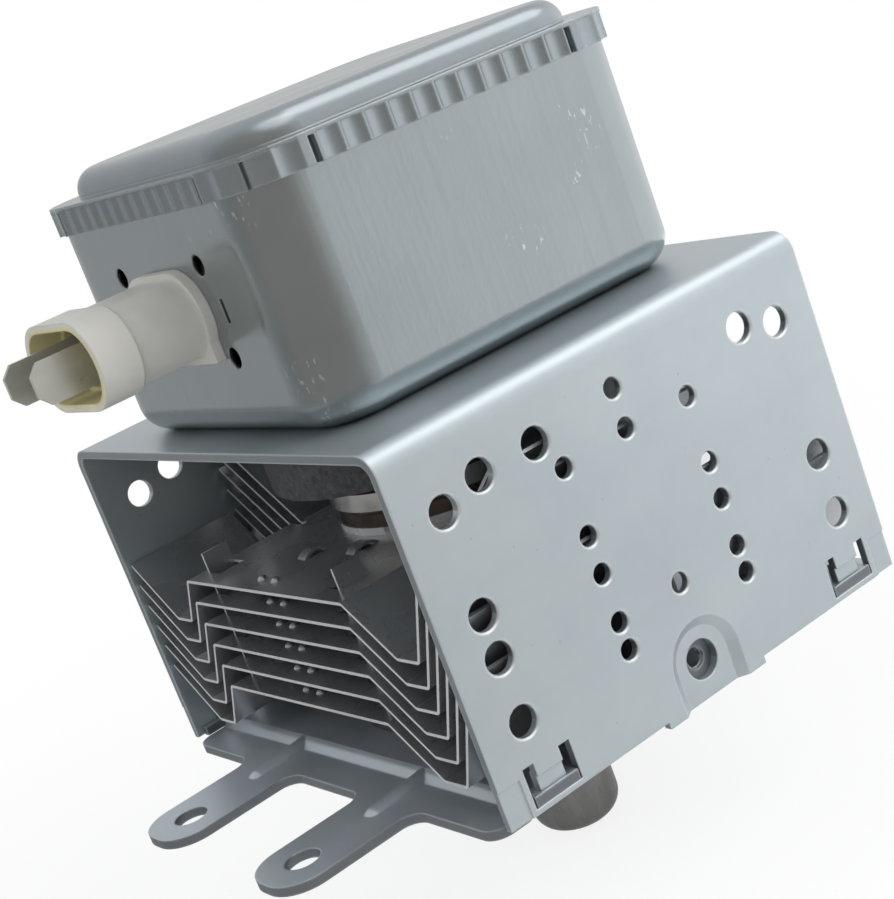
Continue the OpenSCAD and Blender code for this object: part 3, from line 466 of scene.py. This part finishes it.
# The anode's copper darkened almost to black: painted shade, as it sits in the shadow inside the yoke
shadedAnode = dict(copperMetal, dark=(0.10, 0.078, 0.068), light=(0.15, 0.115, 0.10))
tabMetal = {
    "dark": (0.50, 0.495, 0.45), "light": (0.58, 0.575, 0.53), "cloud": 300.0, "stretch": (1, 0.12, 1),
    "grain": 2600.0, "metallic": 0.7, "roughness": (0.26, 0.4), "bump": 0.08,
}
ironMetal = {
    "dark": (0.26, 0.27, 0.28), "light": (0.34, 0.35, 0.36), "cloud": 150.0, "grain": 1500.0,
    "metallic": 1.0, "roughness": (0.35, 0.5), "bump": 0.1,
}
hotWire = dict(ironMetal, dark=(0.16, 0.155, 0.15), light=(0.22, 0.215, 0.21))
dress(plainMetal("fin_sheet", finSheet), *["fin_%d" % i for i in range(1, 7)])
dress(plainMetal("bright_cup", brightCup), "upper_seal_cup", "lower_seal_cup")
dress(plainMetal("cap_metal", capMetal), "antenna_cap")
dress(
    plainMetal("copper_metal", copperMetal),
    "strap_ring_upper_outer", "strap_ring_upper_inner", "strap_ring_lower_outer",
    "strap_ring_lower_inner", "antenna_lead", "exhaust_tube", "choke_coil_left", "choke_coil_right",
)
dress(plainMetal("anode_painted_shade", shadedAnode), "anode_block")
dress(
    plainMetal("tab_metal", tabMetal),
    "terminal_tab_left", "terminal_tab_right", "center_terminal", "side_terminal",
)
dress(plainMetal("soft_iron", ironMetal), "upper_pole_piece", "lower_pole_piece")
dress(
    plainMetal("hot_wire", hotWire),
    "cathode_filament", "upper_end_hat", "lower_end_hat", "center_lead", "side_lead",
)


# Share of the socket that lies inside its oval collar and tube
def insideShare(tree, place, spec):
    parts = axes(tree, place)
    halfFlat = span(tree, parts["Y"], *spec["halfFlat"], *spec["collarEnd"])
    limit = span(tree, parts["Y"], *spec["limit"], *spec["collarEnd"])
    across = calc(tree, "SUBTRACT", calc(tree, "ABSOLUTE", parts["X"]), halfFlat)
    across = calc(tree, "MAXIMUM", across, 0)
    rise = calc(tree, "SUBTRACT", parts["Z"], spec["axis"])
    beyond = calc(tree, "SUBTRACT", distance(tree, across, rise), limit)
    return span(tree, beyond, 1, 0, -spec["blur"], spec["blur"])


# Moulded, cast and fired materials, one of them warmer inside than outside
def dullBody(name, spec):
    mat, tree, shader, place = startMaterial(name)
    tone = cloudyTone(tree, shader, place, spec, 4)
    if "inside" in spec:
        warm = insideShare(tree, place, spec["inside"])
        tone = blendColours(tree, warm, tone, spec["inside"]["colour"])
    feed(tree, tone, shader.inputs["Base Color"])
    bump = addBump(tree, shader, noise(tree, place, spec["grain"], 3), spec["bump"], spec["depth"])
    if "edge" in spec:
        softEdges(tree, bump, spec["edge"])
    return mat


ferriteBody = {
    "dark": (0.018, 0.018, 0.021), "light": (0.085, 0.085, 0.095), "cloud": 900.0, "grain": 1400.0,
    "roughness": (0.5, 0.7), "bump": 0.6, "depth": 0.2 * mm,
}
castingResin = {
    "dark": (0.48, 0.42, 0.22), "light": (0.56, 0.50, 0.28), "cloud": 200.0, "grain": 900.0,
    "roughness": (0.3, 0.45), "bump": 0.15, "depth": 0.2 * mm,
}
aluminaBody = {
    "dark": (0.72, 0.70, 0.65), "light": (0.80, 0.78, 0.74), "cloud": 250.0, "grain": 2500.0,
    "roughness": (0.4, 0.55), "bump": 0.1, "depth": 0.1 * mm,
}
socketInside = {
    "axis": 76.55 * mm, "collarEnd": (-47.9 * mm, -47.5 * mm), "colour": (0.62, 0.56, 0.32),
    "halfFlat": (5.3 * mm, 4.6 * mm), "limit": (6.1 * mm, 5.5 * mm),  # in the collar, then in the tube
    "blur": 0.2 * mm,
}
ivoryPlastic = {
    "dark": (0.555, 0.545, 0.505), "light": (0.61, 0.60, 0.56), "cloud": 140.0, "grain": 1600.0,
    "roughness": (0.36, 0.48), "bump": 0.08, "depth": 0.1 * mm, "edge": 0.4 * mm, "inside": socketInside,
}
dress(
    dullBody("ferrite_body", ferriteBody),
    "upper_magnet", "lower_magnet", "ferrite_core_left", "ferrite_core_right",
)
dress(dullBody("casting_resin", castingResin), "capacitor_body")
dress(dullBody("alumina_body", aluminaBody), "stem_ceramic", "antenna_ceramic")
dress(dullBody("ivory_plastic", ivoryPlastic), "connector_shell")

print("stage: wire gasket and lug threads")
mergeDistance = 0.001 * mm


# Round wires bent along their paths, closed into rings or capped at both ends
def roundWires(paths, radius, closed):
    curve = bpy.data.curves.new("wire_path", "CURVE")
    curve.dimensions = "3D"
    curve.bevel_depth = radius
    curve.bevel_resolution = 1  # six sides
    curve.use_fill_caps = True
    for path in paths:
        spline = curve.splines.new("POLY")
        spline.points.add(len(path) - 1)
        for point, place in zip(spline.points, path):
            point.co = (*place, 1)
        spline.use_cyclic_u = closed
    wire = bpy.data.objects.new("wire_path", curve)
    bpy.context.collection.objects.link(wire)
    mesh = bpy.data.meshes.new_from_object(wire.evaluated_get(bpy.context.evaluated_depsgraph_get()))
    bm = bmesh.new()
    bm.from_mesh(mesh)
    bmesh.ops.remove_doubles(bm, verts=bm.verts, dist=mergeDistance)
    bmesh.ops.recalc_face_normals(bm, faces=bm.faces)
    bpy.data.objects.remove(wire)
    bpy.data.curves.remove(curve)
    bpy.data.meshes.remove(mesh)
    return bm


def makePiece(name, bm, mat):
    mesh = bpy.data.meshes.new(name)
    for face in bm.faces:
        face.smooth = True
    bm.to_mesh(mesh)
    bm.free()
    mesh.materials.append(mat)
    piece = bpy.data.objects.new(name, mesh)
    bpy.context.collection.objects.link(piece)
    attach(piece, "root")
    return piece


wovenGasket = {
    "radius": 11.1 * mm, "halfWidth": 2.2 * mm, "halfHeight": 0.56 * mm, "level": 0.725 * mm,
    "wire": 0.13 * mm, "steps": 12,
    # turns of each strand, its share of the section and its sense
    "strands": [(97, 1.0, 1), (97, 1.0, -1), (61, 0.72, 1), (61, 0.72, -1)],
    "finish": dict(ironMetal, dark=(0.40, 0.39, 0.37), light=(0.52, 0.51, 0.48), roughness=(0.24, 0.36)),
}


def buildGasket(spec):
    paths = []
    for turns, share, sense in spec["strands"]:
        count = turns * spec["steps"]
        path = []
        for i in range(count):
            around = 2 * pi * i / count
            roll = sense * 2 * pi * turns * i / count
            out = spec["radius"] + share * spec["halfWidth"] * cos(roll)
            height = spec["level"] + share * spec["halfHeight"] * sin(roll)
            path.append((out * cos(around), out * sin(around), height))
        paths.append(path)
    bm = roundWires(paths, spec["wire"], True)
    piece = makePiece("woven_gasket", bm, plainMetal("wire_mesh", spec["finish"]))
    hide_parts("rf_gasket")


buildGasket(wovenGasket)

lugThread = {
    "faces": (43.1 * mm, 44.6 * mm), "level": 6.35 * mm, "radius": 1.64 * mm, "pitch": 0.7 * mm,
    "ridge": 0.17 * mm, "steps": 28,
}


def buildThreads(spec):
    paths = []
    inner, outer = spec["faces"]
    inner, outer = inner + spec["ridge"], outer - spec["ridge"]
    count = round(spec["steps"] * (outer - inner) / spec["pitch"])
    for side in (-1, 1):
        path = []
        for i in range(count + 1):
            turn = 2 * pi * i / spec["steps"]
            place = inner + (outer - inner) * i / count
            height = spec["level"] + spec["radius"] * sin(turn)
            path.append((side * place, spec["radius"] * cos(turn), height))
        paths.append(path)
    bm = roundWires(paths, spec["ridge"], False)
    piece = makePiece("lug_threads", bm, nodes["base_plate"].data.materials[0])


buildThreads(lugThread)
